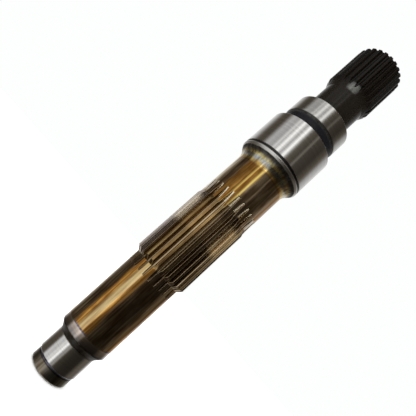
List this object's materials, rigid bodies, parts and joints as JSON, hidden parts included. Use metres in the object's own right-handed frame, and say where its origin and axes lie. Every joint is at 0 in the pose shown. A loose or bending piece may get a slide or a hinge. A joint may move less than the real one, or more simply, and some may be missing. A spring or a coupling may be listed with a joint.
{
  "type": "hydraulic motor drive shaft",
  "caption": "Stepped steel drive shaft with a central drive spline, ground bearing and seal journals, a flared collar and a splined output end.",
  "frame": {"origin": "centre of the pilot end face, which the shaft stands on", "axes": "+Z along the shaft's axis, from the pilot end to the output spline"},
  "size_m": [0.0658, 0.0658, 0.3974],
  "materials": {
    "shaft_steel": "ground journals, heat-tinted body and blackened splines"
  },
  "bodies": {
    "root": {"drive_shaft": "shaft_steel"}
  },
  "joints": []
}
